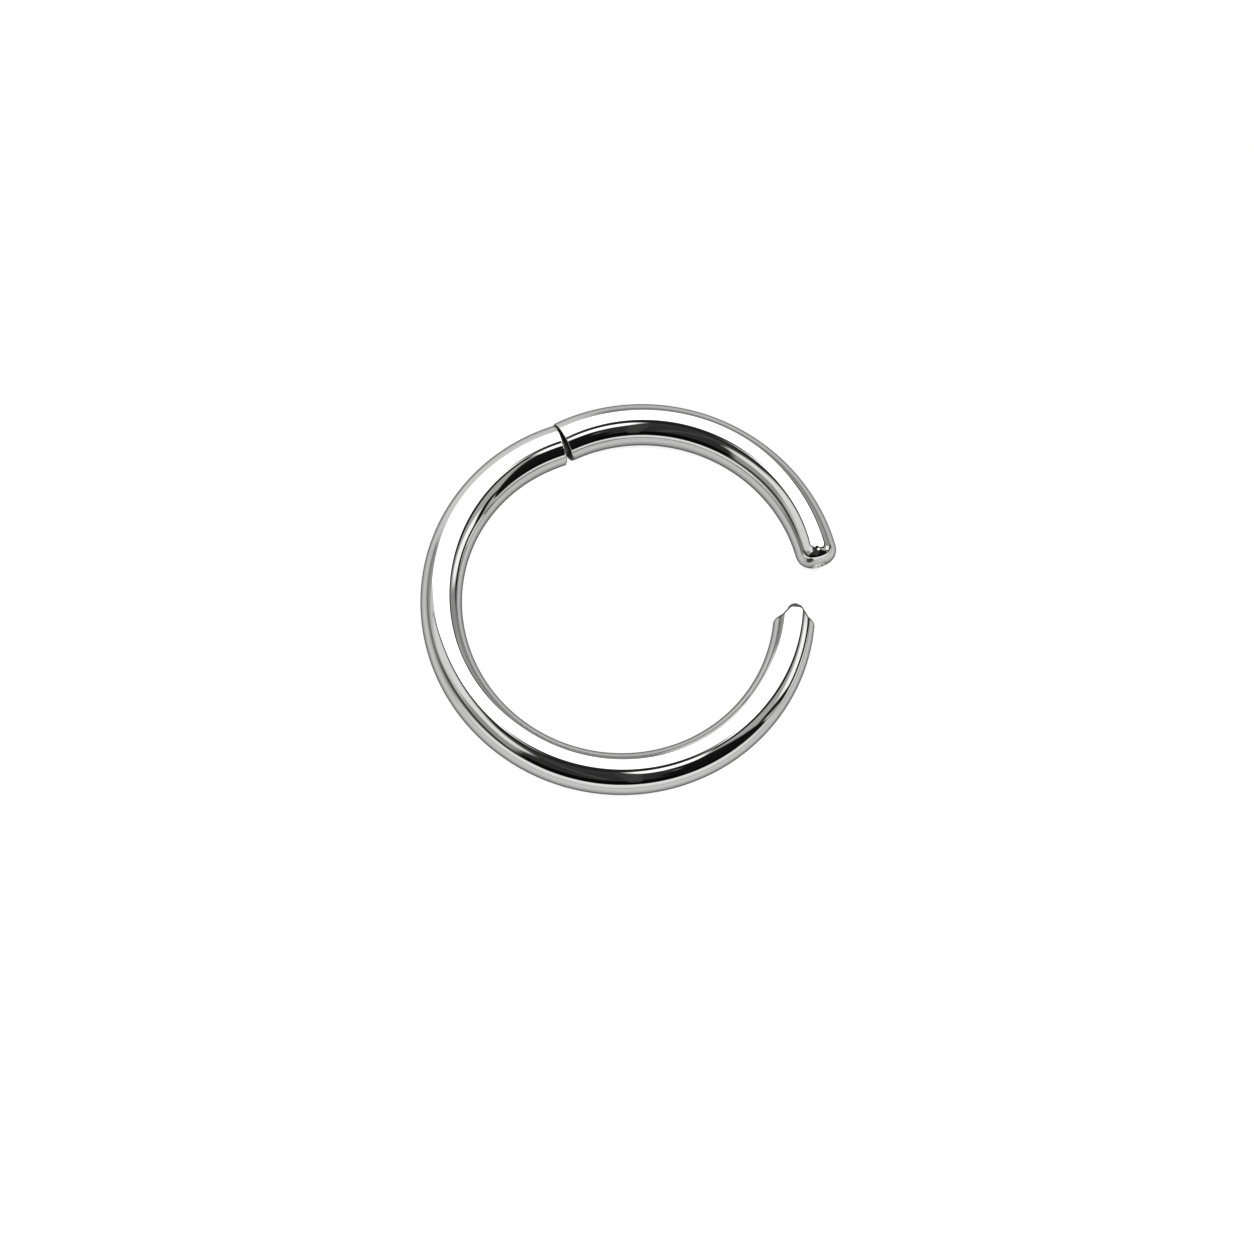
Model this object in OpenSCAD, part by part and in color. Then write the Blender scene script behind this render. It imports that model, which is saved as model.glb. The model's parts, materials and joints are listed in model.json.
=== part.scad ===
// Hinged segment ring (septum clicker), lying on its side with its segment swung open.
// Units are millimetres, +Z is up and the ring's plane is level. The origin is on the
// surface that the ring lies on, below the middle of the open ring's box.

/* [Ring] */
// Diameter of the round wire
wire_d = 1.6; // [1.4:0.1:2]
// Clear diameter inside the closed ring
inner_d = 12; // [10:0.5:14]
// Where the hinge seam lies round the ring, counted counter-clockwise from +X
seam_angle = 108.5; // [95:0.5:125]
// Where the body's free end starts, counted the same way
body_end_angle = -5.5; // [-15:0.5:10]
// How far the segment stands open from closed
open_angle = 9.5; // [0:0.5:60]

/* [Hinge] */
// Diameter of the hinge pin
pin_d = 0.36; // [0.3:0.02:0.4]
// Distance of the pin's axis from the seam, and from the wire's outer face
pin_inset = 0.35; // [0.33:0.01:0.4]
// Thickness of the segment's tongue
tongue_t = 0.5; // [0.4:0.05:0.6]
// How far the tongue's inner edge lies under the wire's inner face
tongue_recess = 0.35; // [0.3:0.05:0.45]
// Gap between the two flat faces of the seam
seam_gap = 0.05; // [0.05:0.01:0.1]
// Radius of the segment's corner on the inside of the seam
inner_corner_r = 0.2; // [0.1:0.05:0.3]

/* [Free ends] */
// Length of the segment's domed end
dome_h = 0.68; // [0.5:0.02:0.8]
// How far the nub's tip reaches into the dome when the ring is closed
bite = 0.1; // [0.06:0.01:0.12]

/* [Hidden] */
$fn = 96;

wire_r = wire_d / 2;
ring_r = inner_d / 2 + wire_r;
inner_r = inner_d / 2;
outer_r = ring_r + wire_r;

// Running clearances: pin in the tongue's bore, tongue in the slot, tongue's edges from the slot's end walls
pin_gap = 0.02;
side_gap = 0.02;
floor_gap = 0.05;
// The ear's round corner is this much larger than the pin's inset, so that it crosses the wire's face
corner_extra = 0.02;
// The tongue's round end stays this far inside the wire's face
tongue_inset = 0.03;
// Gap round the nub's tip in the dimple
dimple_gap = 0.05;
// Cutters reach this far past the wire
past = 1;
// Degrees of the ring that hold the whole hinge
hinge_span = 15;

// The seam frame is the ring's frame turned by seam_angle: x outwards, y towards the body
pin_r = pin_d / 2;
pin_x = sqrt(pow(outer_r - pin_inset, 2) - pow(pin_inset, 2));
tongue_r = pin_inset - tongue_inset;
slot_y = pin_inset + tongue_r + floor_gap;

// Corners of the tab's outline in plan, from beside the wire to its tip: distance from the wire's
// line, height past the wire's end and rounding radius, each as a share of the wire's radius
TAB_W = 0;
TAB_H = 1;
TAB_ROUND = 2;
tab_side = wire_r * [1.2, -0.085];
tab_corners = [
    [0.62, 0.16, 0.2],
    [0.23, 0.63, 0.15],
];
tab_h = wire_r * tab_corners[len(tab_corners) - 1][TAB_H];
// Degrees of the ring that hold the tab before it is cut to its outline
tab_span = 6;

// The nub in the tab's middle is a round post whose ball end has its centre this far past the wire's end
nub_r = 0.375 * wire_r;
nub_foot = 0.575 * wire_r;

// The segment's plain wire ends where its dome reaches the nub's tip in the closed ring
segment_end_angle = body_end_angle
    + atan(nub_foot / ring_r)
    + atan(dome_h / ring_r)
    + (nub_r - bite) / ring_r * 180 / PI;

// Centre of the pin, and of the segment's arc once it is open, in the ring's frame
pin_xy = turned([pin_x, pin_inset], seam_angle);
open_centre = pin_xy - turned(pin_xy, open_angle);

// The open ring's box, whose middle stands over the origin
dome_turn = segment_end_angle + open_angle;
box_right = open_centre[0] + ring_r * cos(dome_turn)
    + norm([dome_h * sin(dome_turn), wire_r * cos(dome_turn)]);
box_top = open_centre[1] + outer_r;
ring_place = [(outer_r - box_right) / 2, (outer_r - box_top) / 2, wire_r];

function turned(p, a) = [p[0] * cos(a) - p[1] * sin(a), p[0] * sin(a) + p[1] * cos(a)];

function unit(v) = v / norm(v);

// Points of the arc of radius r that rounds corner b between a and c
function rounded(a, b, c, r, steps = 8) =
    let (u = unit(a - b), v = unit(c - b), half = acos(u * v) / 2)
    let (middle = b + unit(u + v) * r / sin(half), reach = r / tan(half))
    let (first = b + u * reach - middle, last = b + v * reach - middle, sweep = 180 - 2 * half)
    [for (i = [0:steps]) let (k = i / steps)
        middle + (sin((1 - k) * sweep) * first + sin(k * sweep) * last) / sin(sweep)];

// The tab's outline on one side of the wire's line; side is 1 outwards, -1 inwards
function tab_outline(side) =
    let (corners = [for (c = tab_corners) wire_r * [c[TAB_W], c[TAB_H]]])
    let (p = concat([tab_side], corners, [[0, tab_h]]))
    let (curves = [for (i = [0:len(corners) - 1])
        each rounded(p[i], p[i + 1], p[i + 2], wire_r * tab_corners[i][TAB_ROUND])])
    [for (q = concat([tab_side], curves)) [side * q[0], q[1]]];

function reversed(list) = [for (i = [len(list) - 1:-1:0]) list[i]];

// Half outline of a rod whose end, from foot on, is a quarter of an ellipse r wide and h high
function cap_outline(foot, r, h, steps = 15) =
    let (cap = [for (i = [0:steps]) [r * cos(90 * i / steps), foot + h * sin(90 * i / steps)]])
    concat([[0, 0]], foot > 0 ? [[r, 0]] : [], cap);

// Plain round wire bent to the ring, between two angles
module wire(from, to) {
    rotate([0, 0, from])
        rotate_extrude(angle = to - from)
            translate([ring_r, 0])
                circle(r = wire_r);
}

// Something revolved about the wire's own line at an angle; way is 1 counter-clockwise, -1 clockwise
module wire_end(angle, way) {
    rotate([0, 0, angle])
        translate([ring_r, 0, 0])
            rotate([-90 * way, 0, 0])
                rotate_extrude()
                    children();
}

// Upright cylinder on the pin's axis, as tall as h, in the seam frame
module on_pin(r, h) {
    translate([pin_x, pin_inset, -h / 2])
        cylinder(r = r, h = h);
}

// Block between two corners of the seam frame, h tall about the ring's plane
module block(low, high, h) {
    translate([low[0], low[1], -h / 2])
        cube([high[0] - low[0], high[1] - low[1], h]);
}

// What the tongue needs between the ears, with a web left under the wire's inner face
module slot() {
    block([inner_r + tongue_recess - floor_gap, -past], [outer_r + past, slot_y], tongue_t + 2 * side_gap);
}

// Outer corner of the ears, cut back to a round about the pin
module ear_corner() {
    difference() {
        block([pin_x, -past], [outer_r + past, pin_inset], wire_d + past);
        on_pin(pin_inset + corner_extra, wire_d + 2 * past);
    }
}

// Flat tongue with a round end about the pin
module tongue() {
    on_pin(tongue_r, tongue_t);
    block([inner_r + tongue_recess, -past], [pin_x + tongue_r, pin_inset], tongue_t);
}

// Inner corner of the segment at the seam, cut to a round
module inner_corner() {
    corner = [inner_r + inner_corner_r, -seam_gap - inner_corner_r];
    difference() {
        block([inner_r - past, corner[1]], [corner[0], past], wire_d + past);
        translate([corner[0], corner[1], -wire_r - past])
            cylinder(r = inner_corner_r + corner_extra, h = wire_d + 2 * past);
    }
}

// All that lies past the tab's outline, at the body's free end
module past_tab() {
    beside = wire_r + past;
    rotate([0, 0, body_end_angle])
        translate([ring_r, 0, -beside])
            linear_extrude(2 * beside)
                polygon(concat(tab_outline(1), reversed(tab_outline(-1)),
                    [[-beside, tab_side[1]], [-beside, past], [beside, past], [beside, tab_side[1]]]));
}

// The long arc, with the hinge's two ears at one end and the tab with its nub at the other
module ring_body() {
    color("silver")
        translate(ring_place)
            union() {
                difference() {
                    wire(seam_angle, body_end_angle + 360 + tab_span);
                    rotate([0, 0, seam_angle]) {
                        slot();
                        ear_corner();
                        on_pin(pin_r, wire_d + past);
                    }
                    past_tab();
                }
                wire_end(body_end_angle, 1)
                    polygon(cap_outline(nub_foot, nub_r, nub_r));
            }
}

// Pin pressed through the ears and polished flush with the wire
module hinge_pin() {
    color("lightgray")
        translate(ring_place)
            intersection() {
                wire(seam_angle, seam_angle + hinge_span);
                rotate([0, 0, seam_angle])
                    on_pin(pin_r, wire_d + past);
            }
}

// The segment as it lies in the closed ring
module closed_segment() {
    difference() {
        union() {
            intersection() {
                wire(segment_end_angle, seam_angle + hinge_span);
                rotate([0, 0, seam_angle])
                    union() {
                        block([-outer_r, -2 * outer_r], [2 * outer_r, -seam_gap], wire_d + past);
                        tongue();
                    }
            }
            wire_end(segment_end_angle, -1)
                polygon(cap_outline(0, wire_r, dome_h));
        }
        rotate([0, 0, seam_angle]) {
            on_pin(pin_r + pin_gap, wire_d + past);
            inner_corner();
        }
        rotate([0, 0, body_end_angle])
            translate([ring_r, nub_foot, 0])
                sphere(r = nub_r + dimple_gap);
    }
}

// The segment swung open about the pin
module hinged_segment() {
    color("silver")
        translate(ring_place)
            translate([pin_xy[0], pin_xy[1], 0])
                rotate([0, 0, open_angle])
                    translate([-pin_xy[0], -pin_xy[1], 0])
                        closed_segment();
}

ring_body();
hinge_pin();
hinged_segment();
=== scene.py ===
"""Septum clicker: a hinged segment ring of mirror-polished steel, lying open on a pale floor.

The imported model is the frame. Each of its three solids is drawn here as a dense skin worked out
with numpy, because a mirror shows every flat of a coarse mesh.
"""

import json
import math

import bpy
import numpy as np
from bpy.props import FloatProperty, FloatVectorProperty, PointerProperty
from bpy.types import Operator, Panel, PropertyGroup
from mathutils import Matrix, Vector


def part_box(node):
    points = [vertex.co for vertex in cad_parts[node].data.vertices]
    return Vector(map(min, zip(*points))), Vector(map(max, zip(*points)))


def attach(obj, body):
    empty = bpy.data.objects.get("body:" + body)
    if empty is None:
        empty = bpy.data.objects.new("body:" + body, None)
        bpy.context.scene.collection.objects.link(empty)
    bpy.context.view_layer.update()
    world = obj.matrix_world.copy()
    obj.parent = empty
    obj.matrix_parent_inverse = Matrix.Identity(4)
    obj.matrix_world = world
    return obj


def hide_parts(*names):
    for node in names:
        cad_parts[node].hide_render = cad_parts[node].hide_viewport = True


bl_info = {
    "name": "Septum clicker",
    "version": (1, 0, 0),
    "blender": (4, 5, 0),
    "location": "3D View > Sidebar > Clicker",
    "description": "Builds a hinged segment ring of polished steel around its packed frame",
    "category": "Object",
}

MM = 0.001

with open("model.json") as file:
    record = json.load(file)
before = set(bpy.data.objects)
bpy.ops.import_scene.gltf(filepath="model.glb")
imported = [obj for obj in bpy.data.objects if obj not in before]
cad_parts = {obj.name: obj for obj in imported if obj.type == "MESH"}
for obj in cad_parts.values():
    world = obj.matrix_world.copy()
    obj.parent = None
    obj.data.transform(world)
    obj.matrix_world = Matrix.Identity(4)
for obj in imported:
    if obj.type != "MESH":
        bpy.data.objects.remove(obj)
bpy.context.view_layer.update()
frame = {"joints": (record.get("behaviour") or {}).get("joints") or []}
BODY_LOW, BODY_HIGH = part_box("ring_body")
HINGE = frame["joints"][0]


def from_hex(text):
    """Linear red, green and blue of an sRGB colour written as six hex digits."""
    srgb = np.array([int(text[i:i + 2], 16) / 255 for i in (0, 2, 4)])
    linear = np.where(srgb <= 0.04045, srgb / 12.92, ((srgb + 0.055) / 1.055) ** 2.4)
    return tuple(float(c) for c in linear)


def length(name, description, default_mm):
    """A length property, with its default in millimetres."""
    return FloatProperty(
        name=name, description=description, default=default_mm * MM,
        min=0, precision=5, subtype="DISTANCE", unit="LENGTH",
    )


def angle(name, description, default_deg):
    """An angle property, with its default in degrees."""
    return FloatProperty(
        name=name, description=description, default=math.radians(default_deg), subtype="ANGLE",
    )


class ClickerSizes(PropertyGroup):
    """Driving sizes of the ring."""

    wire_d: length("Wire", "Diameter of the round wire", (BODY_HIGH.z - BODY_LOW.z) / MM)
    inner_d: length("Inside", "Clear diameter inside the closed ring", 12)
    body_end: angle("Free end", "Where the body's free end starts, counter-clockwise from +X", -5.5)
    open_turn: angle("Open", "How far the segment stands open from closed", -HINGE["range_deg"][0])
    pin_d: length("Pin", "Diameter of the hinge pin", 0.36)
    pin_h: length("Pin's height", "Length of the pin, whose ends lie blind in the two ears", 0.9)
    tongue_t: length("Tongue", "Thickness of the segment's tongue", 0.5)
    tongue_recess: length("Recess", "How far the tongue's inner edge lies under the wire's inner face", 0.35)
    seam_gap: length("Seam", "Gap between the two flat faces of the closed seam", 0.05)
    inner_corner_r: length("Inner corner", "Radius of the segment's corner on the inside of the seam", 0.2)
    edge_r: length("Segment's edge", "Radius that polishing leaves on the segment's edge at the seam", 0.04)
    ear_edge_r: length("Ears' edge", "Radius that polishing leaves on the body's edge at the seam", 0.075)
    inner_edge_r: length("Inner edge", "Radius of the body's edge on the inside of the seam", 0.11)
    tab_edge_r: length("Tab's edge", "Radius of the edge along the ridge of the tab at the free end", 0.145)
    dome_h: length("Dome", "Length of the segment's domed end", 0.68)
    bite: length("Bite", "How far the nub's tip reaches into the dome when the ring is closed", 0.1)


class ClickerFinish(PropertyGroup):
    """Colours and gloss of the steel, the floor and the light."""

    steel: FloatVectorProperty(
        name="Steel", description="Colour of the polished steel seen head-on",
        default=from_hex("DADAD8"), size=3, min=0, max=1, subtype="COLOR",
    )
    slant: FloatVectorProperty(
        name="Slant", description="Share of its gloss that the polished steel keeps shortly before grazing",
        default=(0.22, 0.22, 0.22), size=3, min=0, max=1, subtype="COLOR",
    )
    # The cut faces' colour is darker than the cut steel itself, as painted shade for the seam's gap and the
    # slot
    cut_steel_and_gap_shade: FloatVectorProperty(
        name="Cut faces", description="Colour of the machined faces in the hinge and at the free end",
        default=from_hex("5A5A58"), size=3, min=0, max=1, subtype="COLOR",
    )
    roughness: FloatProperty(
        name="Roughness", description="Roughness of the mirror polish",
        default=0.035, min=0, max=1, subtype="FACTOR",
    )
    floor: FloatVectorProperty(
        name="Floor", description="Colour of the white card",
        default=from_hex("F4F4F4"), size=3, min=0, max=1, subtype="COLOR",
    )
    light: FloatProperty(
        name="Light", description="Brightness of the studio round the object", default=1, min=0,
    )


class ClickerCamera(PropertyGroup):
    """The photograph's view of the ring."""

    lean: angle("Lean", "Angle between the view and straight down", 18.2)
    lean_axis: angle("Lean axis", "Direction of the level axis that the camera leans about", -12.3)
    frame_w: length("Frame", "Width of the picture at the ring", 48.16)
    across: FloatProperty(
        name="Across", description="How far the picture's middle lies to the right of the ring's",
        default=0.34 * MM, precision=5, subtype="DISTANCE", unit="LENGTH",
    )
    up: FloatProperty(
        name="Up", description="How far the picture's middle lies above the ring's",
        default=-0.87 * MM, precision=5, subtype="DISTANCE", unit="LENGTH",
    )
    lens: FloatProperty(
        name="Lens", description="Focal length", default=200, min=1, subtype="DISTANCE_CAMERA",
    )


# Running clearances of the hinge and the nub's dimple, as in the solids
SIDE_GAP = 0.02 * MM
PIN_GAP = 0.02 * MM
FLOOR_GAP = 0.05 * MM
CORNER_EXTRA = 0.02 * MM
TONGUE_INSET = 0.03 * MM
DIMPLE_GAP = 0.05 * MM

# The tab at the body's free end, in shares of the wire's radius: its outline in plan, from beside
# the wire to its tip, as distance from the wire's line and height past the wire's end, and the
# radii that round the outline's two inner corners
TAB_OUTLINE = np.array([[1.2, -0.085], [0.62, 0.16], [0.23, 0.63], [0, 0.63]])
TAB_ROUNDS = np.array([0.2, 0.15])

# The nub in the tab's middle: its radius, and how far past the wire's end its ball is centred
NUB_R = 0.375
NUB_FOOT = 0.575

# The power that squares the dome's outline, so that its end is flatter than an ellipse's, and the
# width over which the rim of its dimple is blended
DOME_POWER = 0.8
RIM_BLEND = 0.03 * MM

# Radius of the tongue's corner beside the pin, and the chamfer of the pin's two ends
TONGUE_CORNER_R = 0.08 * MM
PIN_CHAMFER = 0.03 * MM

# Angle of the wire's section over which the radius of the inner edge falls to that of the ears' edge
INNER_SPREAD = 0.3 * math.pi

# How far round the ring from the seam the wire's rows follow the seam's outline, and how far before
# the wire's end they start to follow the tab's
SEAM_ROOM = math.radians(9)
TAB_ROOM = math.radians(1.5)

# Steps round the wire's section: over the width of the slot on each side, and over top and bottom
SIDE_STEPS, TOP_STEPS = 14, 76

# Steps along the wire: behind the ears, near the other ends, and in the two plain arcs
EAR_STEPS, NEAR_STEPS, BODY_STEPS, SEGMENT_STEPS = 12, 16, 240, 110

# Steps over an edge at the seam, and over the tab's edge, its outline's rounds, its wall and the nub
EDGE_STEPS = 8
TAB_EDGE_STEPS, TAB_ROUND_STEPS, WALL_STEPS, BALL_STEPS = 12, 14, 20, 16

# Steps round the tongue's corner, its nose and half its bore, and round the pin
CORNER_STEPS, NOSE_STEPS, BORE_STEPS, PIN_STEPS = 6, 32, 24, 48

# The dome's rows: from one angle up its side to the next in so many steps, closest at the dimple's rim
DOME_STRETCHES = ((0, 1.21, 32), (1.21, 1.41, 44), (1.41, math.pi / 2, 14))

# Rounds in which the end of the wire is found, each starting from the place that the last one gave
END_ROUNDS = 12

# Half the width over which the slope of an outline is measured
HAIR = 0.005 * MM

# A normal that is shorter than this share of the longest one stands at a pole
NO_SLOPE = 1e-9


class Plan:
    """Sizes and places that follow from the driving ones, in metres and radians.

    The seam frame is the ring's frame turned by the seam's angle: x outwards, y towards the body.
    """

    def __init__(self, sizes):
        self.wire_r = sizes.wire_d / 2
        self.inner_r = sizes.inner_d / 2
        self.ring_r = self.inner_r + self.wire_r
        self.outer_r = self.ring_r + self.wire_r
        self.centre = np.array([BODY_LOW.x + self.outer_r, BODY_LOW.y + self.outer_r, self.wire_r])
        pin = np.array(HINGE["pos_m"]) - self.centre
        pin_reach = math.hypot(pin[0], pin[1])
        self.pin_y = self.outer_r - pin_reach
        self.pin_x = math.sqrt(pin_reach ** 2 - self.pin_y ** 2)
        self.seam = math.atan2(pin[1], pin[0]) - math.asin(self.pin_y / pin_reach)
        self.pin_r = sizes.pin_d / 2
        self.pin_h = sizes.pin_h
        self.open_turn = sizes.open_turn
        self.seam_gap = sizes.seam_gap
        self.edge_r = sizes.edge_r
        self.ear_edge_r = sizes.ear_edge_r
        self.inner_edge_r = sizes.inner_edge_r
        self.tab_edge_r = sizes.tab_edge_r
        self.inner_corner_r = sizes.inner_corner_r
        self.corner_r = self.pin_y + CORNER_EXTRA
        self.tongue_z = sizes.tongue_t / 2
        self.tongue_x = self.inner_r + sizes.tongue_recess
        self.tongue_r = self.pin_y - TONGUE_INSET
        self.slot_x = self.tongue_x - FLOOR_GAP
        self.slot_z = self.tongue_z + SIDE_GAP
        self.slot_y = self.pin_y + self.tongue_r + FLOOR_GAP
        self.nub_r = self.wire_r * NUB_R
        self.nub_foot = self.wire_r * NUB_FOOT
        self.dome_h = sizes.dome_h
        self.body_end = sizes.body_end
        self.segment_end = (
            sizes.body_end
            + math.atan(self.nub_foot / self.ring_r)
            + math.atan(self.dome_h / self.ring_r)
            + (self.nub_r - sizes.bite) / self.ring_r
        )

    def to_part(self, points):
        """Points from the seam frame to the part's own: turned by the seam's angle, then moved."""
        return turned(points, self.seam) + self.centre

    def body_line(self, x):
        """How far the ears reach at x: level, then a round about the pin on the outer side."""
        round_y = self.pin_y - np.sqrt(np.maximum(self.corner_r ** 2 - (x - self.pin_x) ** 2, 0))
        return np.where(x > self.pin_x, np.maximum(round_y, 0), 0)

    def segment_line(self, x):
        """How far the segment's shoulder reaches at x: level, then a round on the inner side."""
        middle = self.inner_r + self.inner_corner_r
        reach = self.inner_corner_r + CORNER_EXTRA
        round_y = np.sqrt(np.maximum(reach ** 2 - (x - middle) ** 2, 0)) - self.inner_corner_r
        return np.where(x < middle, np.minimum(round_y, 0), 0) - self.seam_gap


def joined(x, y, z):
    """Points out of their three coordinates, each spread over one common grid."""
    return np.stack(np.broadcast_arrays(x, y, z), -1)


def turned(points, turn, about=(0, 0)):
    """Points turned by t about an upright axis: x cos t - y sin t across, x sin t + y cos t up."""
    c, s = math.cos(turn), math.sin(turn)
    x, y = points[..., 0] - about[0], points[..., 1] - about[1]
    return joined(about[0] + c * x - s * y, about[1] + s * x + c * y, points[..., 2])


def unit(vectors):
    """Vectors scaled to length 1."""
    return vectors / np.linalg.norm(vectors, axis=-1, keepdims=True)


def shares(steps):
    """Even shares from 0 to 1, as a column."""
    return np.linspace(0, 1, steps + 1)[:, None]


def quarter(steps):
    """Even angles from 0 to a quarter turn, as a column."""
    return np.linspace(0, math.pi / 2, steps + 1)[:, None]


def between(start, stop, share):
    """What lies this share of the way from start to stop: start (1 - share) + stop share."""
    return start * (1 - share) + stop * share


def slope_of(line, x):
    """Slope at x of an outline in plan: its rise over a hair's breadth to both sides."""
    return (line(x + HAIR) - line(x - HAIR)) / (2 * HAIR)


# Which of its two steels a patch shows
POLISHED, CUT = 0, 1

# Neighbours on an outline that lie closer than this are one point. Points of different patches that
# fall on one place of the wider grid are welded, and normals there become one where each turns from
# their mean by less than this angle.
WELD = 2e-9
WELD_GRID = 8 * WELD
SMOOTH_UNDER = math.cos(math.radians(10))


class Skin:
    """Patches of one closed skin, which are welded where their borders meet."""

    def __init__(self):
        self.points, self.normals = [], []
        self.faces, self.finishes = [], []
        self.count = 0

    def add(self, points, normals, faces, finish):
        """Keeps a patch, each face turned to look the way its corners' normals do."""
        corners = points[faces]
        facing = np.cross(corners, np.roll(corners, -1, axis=1)).sum(1)
        away = (facing * normals[faces].sum(1)).sum(1) < 0
        faces = np.where(away[:, None], faces[:, ::-1], faces)
        self.points.append(points)
        self.normals.append(normals)
        self.faces.append(faces + self.count)
        self.finishes.append(finish)
        self.count += len(points)

    def grid(self, points, normals, finish=POLISHED):
        """A patch of quads between neighbouring points of a grid [rows, columns, 3]."""
        rows, columns = points.shape[:2]
        at = np.arange(rows * columns).reshape(rows, columns)
        quads = np.stack([at[:-1, :-1], at[:-1, 1:], at[1:, 1:], at[1:, :-1]], -1).reshape(-1, 4)
        self.add(points.reshape(-1, 3), normals.reshape(-1, 3), quads, finish)

    def flat(self, outline, normal):
        """One flat face of cut steel inside an outline."""
        outline = np.concatenate(outline)
        kept = np.linalg.norm(outline - np.roll(outline, 1, axis=0), axis=1) > WELD
        outline = outline[kept]
        normals = np.broadcast_to(np.array(normal, float), outline.shape)
        self.add(outline, normals, np.arange(len(outline))[None, :], CUT)

    def mesh(self, name, place):
        """The welded mesh, moved by place(points), with each corner's own normal."""
        points, normals = np.concatenate(self.points), np.concatenate(self.normals)
        keys = np.round(points / WELD_GRID).astype(np.int64)
        _, first, spot = np.unique(keys, axis=0, return_index=True, return_inverse=True)
        spot = spot.reshape(-1)
        mean = np.zeros((len(first), 3))
        np.add.at(mean, spot, normals)
        mean = unit(mean)[spot]
        close = (mean * normals).sum(1) > SMOOTH_UNDER
        normals = np.where(close[:, None], mean, normals)
        faces, corners, finishes = [], [], []
        for patch, finish in zip(self.faces, self.finishes):
            welded = spot[patch]
            repeats = welded == np.roll(welded, -1, axis=1)
            for dropped in (0, 1):
                rows = repeats.sum(1) == dropped
                if rows.any():
                    width = patch.shape[1] - dropped
                    kept = patch[rows][~repeats[rows]].reshape(-1, width)
                    faces += spot[kept].tolist()
                    corners.append(kept.ravel())
                    finishes.append(np.full(len(kept), finish))
        corners = np.concatenate(corners)
        made = bpy.data.meshes.new(name)
        origin = place(np.zeros((1, 3)))
        made.from_pydata(place(points[first]).tolist(), [], faces)
        made.polygons.foreach_set("material_index", np.concatenate(finishes).astype(np.int32))
        made.polygons.foreach_set("use_smooth", np.ones(len(faces), bool))
        made.normals_split_custom_set((place(normals[corners]) - origin).tolist())
        loose = open_edges(made)
        if loose:
            raise ValueError(f"{name}: {loose} edges don't join two faces")
        return made


def open_edges(mesh):
    """How many edges of a mesh don't have a face on both sides."""
    used = np.zeros(len(mesh.loops), np.int32)
    mesh.loops.foreach_get("edge_index", used)
    return int((np.bincount(used, minlength=len(mesh.edges)) != 2).sum())


def slopes(points, outward, closed=False):
    """Normals of a grid: the cross product of its two central differences, turned outward."""
    if closed:
        points = np.concatenate([points[:, -2:-1], points, points[:, 1:2]], 1)
    down, along = (np.gradient(points, axis=a, edge_order=2) for a in (0, 1))
    normals = np.cross(down, along)
    if closed:
        normals = normals[:, 1:-1]
    size = np.linalg.norm(normals, axis=-1, keepdims=True)
    flat = size < NO_SLOPE * size.max()
    normals = np.where(flat, np.array(outward, float), normals / np.where(flat, 1, size))
    return normals * np.sign((normals * np.array(outward)).sum())


def wire_point(plan, theta, phi):
    """Point and normal at angle theta of the wire's section, carried round the ring to phi.

    The section's point lies ring radius + r cos theta from the ring's axis, r sin theta high.
    """
    reach = plan.ring_r + plan.wire_r * np.cos(theta)
    points = joined(reach * np.cos(phi), reach * np.sin(phi), plan.wire_r * np.sin(theta))
    normals = joined(np.cos(theta) * np.cos(phi), np.cos(theta) * np.sin(phi), np.sin(theta))
    return points, normals


def end_ring(plan, theta, radius, line, lift):
    """Where a section circle meets the line that ends the wire, moved along the wire by lift.

    On a circle about the ring's axis x is the root of reach^2 - y^2, and y is line(x) + lift.
    """
    reach = plan.ring_r + radius * np.cos(theta)
    y = np.broadcast_to(lift, np.broadcast(reach, lift).shape)
    for _ in range(END_ROUNDS):
        y = line(np.sqrt(reach ** 2 - y ** 2)) + lift
    return joined(np.sqrt(reach ** 2 - y ** 2), y, radius * np.sin(theta))


def columns(chord):
    """Angles round the wire's section in four stretches, split where chord cuts it on each side."""
    side = np.linspace(-chord, chord, SIDE_STEPS + 1)
    top = np.linspace(chord, math.pi - chord, TOP_STEPS + 1)
    return side, top, side + math.pi, top + math.pi


def whole(stretches):
    """One run of angles out of neighbouring stretches."""
    return np.concatenate([stretches[0]] + [s[1:] for s in stretches[1:]])


def arc_rows(plan, skin, theta, phi_from, phi_to, steps):
    """The wire's own face in even steps between two angles round the ring, which may vary with theta."""
    skin.grid(*wire_point(plan, theta, between(phi_from, phi_to, shares(steps))))


def rounded_outline(corners, radii, steps):
    """Points in plan along half an outline whose inner corners are rounded by arcs.

    Each arc's centre lies on the corner's bisector, at its radius from both neighbouring lines.
    """
    ways = unit(np.diff(corners, axis=0))
    outward = np.stack([ways[:, 1], -ways[:, 0]], -1)
    points = [corners[:1]]
    for k, radius in enumerate(radii):
        before, after = outward[k], outward[k + 1]
        convex = np.sign(ways[k, 0] * ways[k + 1, 1] - ways[k, 1] * ways[k + 1, 0])
        bend = math.acos(float(before @ after))
        share = shares(steps)
        fan = (np.sin((1 - share) * bend) * before + np.sin(share * bend) * after) / math.sin(bend)
        middle = corners[k + 1] - convex * radius * (before + after) / (1 + before @ after)
        points.append(middle + convex * radius * fan)
    points.append(corners[-1:])
    return np.concatenate(points)


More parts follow.
